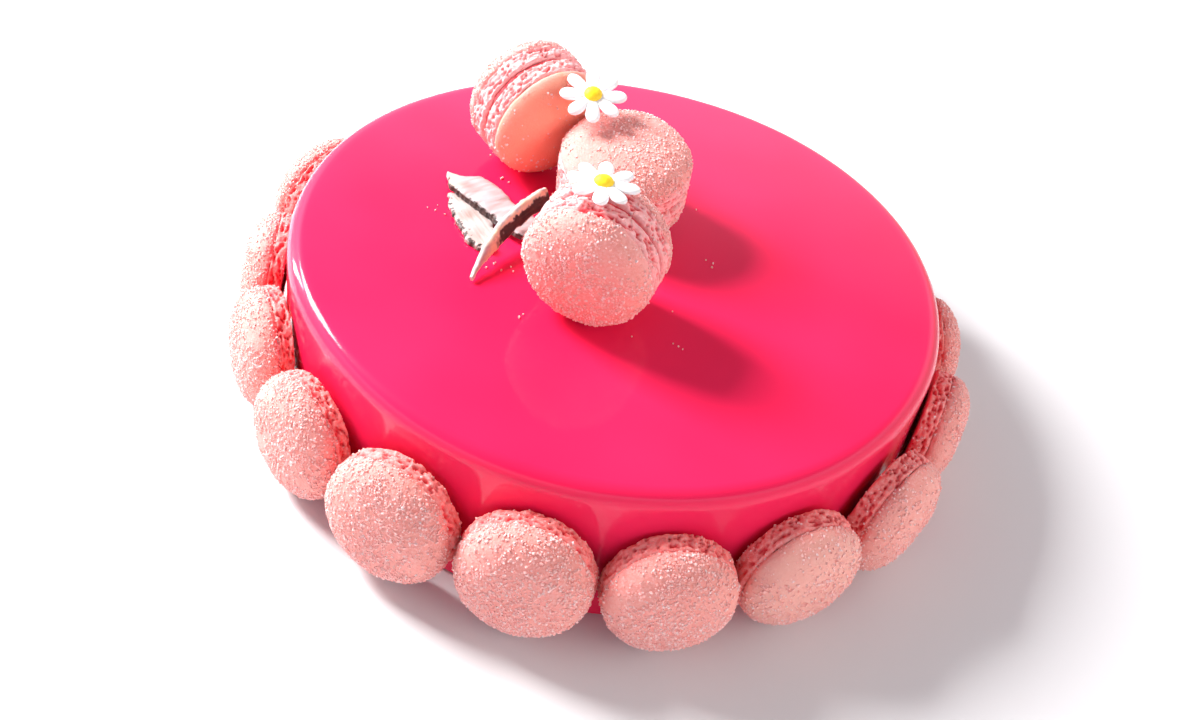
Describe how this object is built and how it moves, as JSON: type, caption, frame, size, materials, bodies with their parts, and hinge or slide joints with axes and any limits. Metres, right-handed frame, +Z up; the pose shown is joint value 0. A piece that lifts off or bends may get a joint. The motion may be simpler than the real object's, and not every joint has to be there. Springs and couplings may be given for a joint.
{
  "type": "entremet cake",
  "caption": "Round mousse cake with a mirror glaze, macaron shells standing round its side, and filled macarons, coconut shavings and sugar daisies on its flat top.",
  "frame": {"origin": "centre of the cake's flat base", "axes": "+Z up through the cake's top, -Y towards the side that the picture shows nearest, +X to its right"},
  "size_m": [0.232, 0.2334, 0.0932],
  "materials": {
    "glaze": "mirror glaze, hot pink",
    "macaron_shell": "dry, sugar-grained, peach pink",
    "macaron_filling": "smooth, red",
    "coconut": "fibrous white flesh with a brown skin",
    "sugar_petals": "satin white sugar",
    "sugar_centre": "satin yellow sugar"
  },
  "bodies": {
    "root": {"cake": "glaze", "ring_macaron_01": "macaron_shell", "ring_macaron_02": "macaron_shell", "ring_macaron_03": "macaron_shell", "ring_macaron_04": "macaron_shell", "ring_macaron_05": "macaron_shell", "ring_macaron_06": "macaron_shell", "ring_macaron_07": "macaron_shell", "ring_macaron_08": "macaron_shell", "ring_macaron_09": "macaron_shell", "ring_macaron_10": "macaron_shell", "ring_macaron_11": "macaron_shell", "ring_macaron_12": "macaron_shell", "ring_macaron_13": "macaron_shell", "ring_macaron_14": "macaron_shell", "ring_macaron_15": "macaron_shell", "ring_macaron_16": "macaron_shell", "ring_macaron_17": "macaron_shell", "left_macaron_outer_shell": "macaron_shell", "left_macaron_inner_shell": "macaron_shell", "left_macaron_filling": "macaron_filling", "middle_macaron_outer_shell": "macaron_shell", "middle_macaron_inner_shell": "macaron_shell", "middle_macaron_filling": "macaron_filling", "front_macaron_outer_shell": "macaron_shell", "front_macaron_inner_shell": "macaron_shell", "front_macaron_filling": "macaron_filling", "coconut_shaving_1": "coconut", "coconut_shaving_2": "coconut", "coconut_shaving_3": "coconut", "back_daisy_petals": "sugar_petals", "back_daisy_centre": "sugar_centre", "front_daisy_petals": "sugar_petals", "front_daisy_centre": "sugar_centre"}
  },
  "joints": []
}
